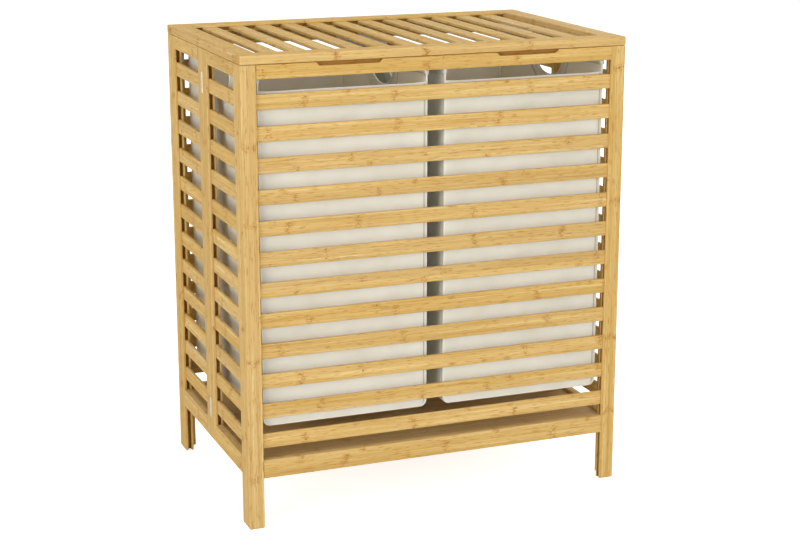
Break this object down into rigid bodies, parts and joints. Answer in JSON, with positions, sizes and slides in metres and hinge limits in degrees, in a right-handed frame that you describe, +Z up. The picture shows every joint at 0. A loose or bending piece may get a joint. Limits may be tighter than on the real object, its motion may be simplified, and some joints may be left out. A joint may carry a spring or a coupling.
{
  "type": "laundry hamper",
  "caption": "Bamboo laundry hamper with slatted walls, a hinged slatted lid and two hanging fabric bins.",
  "frame": {"origin": "middle of the footprint on the floor, with the hinges at the back and the sides counted in", "axes": "+X to the right seen from the front, -Y towards the front where the finger notches are, +Z up"},
  "size_m": [0.604, 0.4084, 0.7],
  "materials": {
    "bamboo": "satin lacquer",
    "dowel": "smooth, unlacquered",
    "base_board": "satin lacquer",
    "bag_fabric": "plain weave",
    "hinge_metal": "nickel plated"
  },
  "bodies": {
    "frame": {"front_post_left": "bamboo", "front_post_right": "bamboo", "front_top_rail": "bamboo", "front_bottom_rail": "bamboo", "front_slat_01": "bamboo", "front_slat_02": "bamboo", "front_slat_03": "bamboo", "front_slat_04": "bamboo", "front_slat_05": "bamboo", "front_slat_06": "bamboo", "front_slat_07": "bamboo", "front_slat_08": "bamboo", "front_slat_09": "bamboo", "front_slat_10": "bamboo", "front_slat_11": "bamboo", "front_slat_12": "bamboo", "back_post_left": "bamboo", "back_lattice": "bamboo", "back_top_rail": "bamboo", "back_bottom_rail": "bamboo", "left_front_leg": "bamboo", "left_front_lattice": "bamboo", "left_back_leg": "bamboo", "left_back_lattice": "bamboo", "right_front_leg": "bamboo", "right_front_lattice": "bamboo", "right_back_leg": "bamboo", "right_back_lattice": "bamboo", "left_fold_hinge_lower": "hinge_metal", "left_front_hinge_lower": "hinge_metal", "left_back_hinge_lower": "hinge_metal", "left_fold_hinge_upper": "hinge_metal", "left_front_hinge_upper": "hinge_metal", "left_back_hinge_upper": "hinge_metal", "right_fold_hinge_lower": "hinge_metal", "right_front_hinge_lower": "hinge_metal", "right_back_hinge_lower": "hinge_metal", "right_fold_hinge_upper": "hinge_metal", "right_front_hinge_upper": "hinge_metal", "right_back_hinge_upper": "hinge_metal", "lid_hinge_left_frame_leaf": "hinge_metal", "lid_hinge_right_frame_leaf": "hinge_metal", "base_board": "base_board", "base_ledge_front": "bamboo", "base_ledge_back": "bamboo"},
    "lid": {"lid_lattice": "bamboo", "lid_back_rail": "bamboo", "lid_stile_left": "bamboo", "lid_stile_right": "bamboo", "lid_hinge_left_lid_leaf": "hinge_metal", "lid_hinge_right_lid_leaf": "hinge_metal"},
    "bin_left": {"bin_left_bag": "bag_fabric", "bin_left_rod_outer": "dowel", "bin_left_rod_inner": "dowel"},
    "bin_right": {"bin_right_bag": "bag_fabric", "bin_right_rod_outer": "dowel", "bin_right_rod_inner": "dowel"}
  },
  "joints": [
    {"name": "lid_hinge", "type": "hinge", "parent": "frame", "child": "lid", "pos_m": [0, 0.19856, 0.68675], "axis": [-1, 0, 0], "range_deg": [0, 105]},
    {"name": "bin_left_lift", "type": "slide", "parent": "frame", "child": "bin_left", "axis": [0, 0, 1], "range_m": [0, 0.005]},
    {"name": "bin_right_lift", "type": "slide", "parent": "frame", "child": "bin_right", "axis": [0, 0, 1], "range_m": [0, 0.005]}
  ]
}
